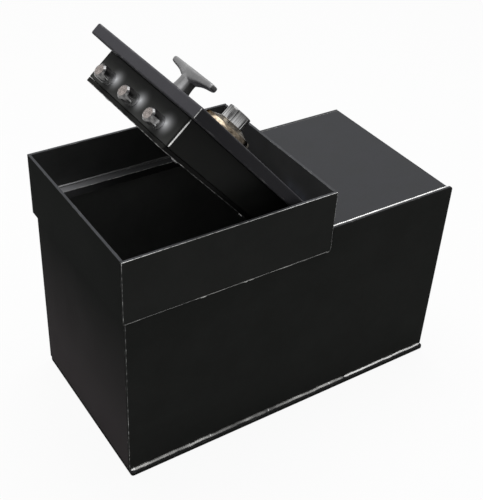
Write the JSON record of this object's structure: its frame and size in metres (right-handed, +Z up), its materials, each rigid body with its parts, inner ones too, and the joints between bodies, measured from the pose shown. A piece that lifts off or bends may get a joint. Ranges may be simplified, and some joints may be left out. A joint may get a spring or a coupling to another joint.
{
  "type": "in-floor safe",
  "caption": "Welded steel in-floor safe: long low box with a raised neck, hinged thick door open, chrome sliding bolts, T-handle and combination dial",
  "frame": {"origin": "On the base plate's underside, under the middle of the box's length and depth", "axes": "+X along the length from the neck toward the low end, +Y from the front to the back, +Z up"},
  "size_m": [0.4305, 0.2245, 0.4337],
  "materials": {
    "body_paint": "satin black paint on welded plate",
    "door_paint": "satin dark grey paint",
    "chrome": "polished",
    "cast_handle": "satin grey casting",
    "dial_metal": "satin",
    "steel": "machined",
    "brass": "machined",
    "lock_case": "die cast"
  },
  "bodies": {
    "safe_body": {"base_plate": "body_paint", "front_plate": "body_paint", "back_plate": "body_paint", "left_end_plate": "body_paint", "right_end_plate": "body_paint", "top_plate": "body_paint", "neck_front_plate": "body_paint", "neck_back_plate": "body_paint", "neck_left_plate": "body_paint", "neck_right_plate": "body_paint", "ledge_left_bar": "body_paint", "ledge_front_bar": "body_paint", "ledge_back_bar": "body_paint", "hinge_boss_front": "body_paint", "hinge_boss_back": "body_paint"},
    "door": {"door_plate": "door_paint", "hinge_pin_front": "steel", "hinge_pin_back": "steel", "housing_free_end_plate": "body_paint", "housing_front_plate": "body_paint", "housing_back_plate": "body_paint", "housing_hinge_end_plate": "body_paint", "cover_plate": "body_paint", "cover_post_1": "steel", "cover_post_2": "steel", "cover_post_3": "steel", "cover_post_4": "steel", "cover_screw_1": "steel", "cover_screw_2": "steel", "cover_screw_3": "steel", "cover_screw_4": "steel", "bolt_bush_1": "brass", "bolt_bush_2": "brass", "bolt_bush_3": "brass", "dial_ring": "dial_metal", "lock_case": "lock_case", "lock_case_cover": "lock_case", "lock_screw_1": "steel", "lock_screw_2": "steel", "lock_screw_3": "steel", "lock_screw_4": "steel", "wheel_post": "steel"},
    "handle": {"t_handle": "cast_handle", "handle_spindle": "steel", "bolt_cam": "steel"},
    "boltwork": {"bolt_bar": "steel", "bolt_1": "chrome", "bolt_2": "chrome", "bolt_3": "chrome", "roll_pin_1": "steel", "roll_pin_2": "steel", "roll_pin_3": "steel"},
    "dial": {"dial": "dial_metal", "dial_spindle": "steel", "drive_cam": "brass", "combination_wheel_1": "brass", "combination_wheel_2": "brass", "combination_wheel_3": "brass"},
    "lock_bolt": {"lock_bolt": "brass"}
  },
  "joints": [
    {"name": "door_hinge", "type": "hinge", "parent": "safe_body", "child": "door", "pos_m": [0.0263, 0, 0.2575], "axis": [0, 1, 0], "range_deg": [-48.1, 46.5]},
    {"name": "handle_turn", "type": "hinge", "parent": "door", "child": "handle", "pos_m": [-0.09344, 0, 0.39095], "axis": [0.7443, 0, 0.6678], "range_deg": [0, 90]},
    {"name": "bolt_slide", "type": "slide", "parent": "door", "child": "boltwork", "axis": [0.6678, 0, -0.7443], "range_m": [0, 0.016]},
    {"name": "dial_turn", "type": "hinge", "parent": "door", "child": "dial", "pos_m": [-0.03868, 0, 0.32992], "axis": [0.7443, 0, 0.6678], "continuous": true},
    {"name": "lock_bolt_slide", "type": "slide", "parent": "door", "child": "lock_bolt", "axis": [0, -1, 0], "range_m": [0, 0.01]}
  ],
  "couplings": [
    {"joint": "handle_turn", "follows": "bolt_slide", "rad_per_m": 98.17}
  ]
}
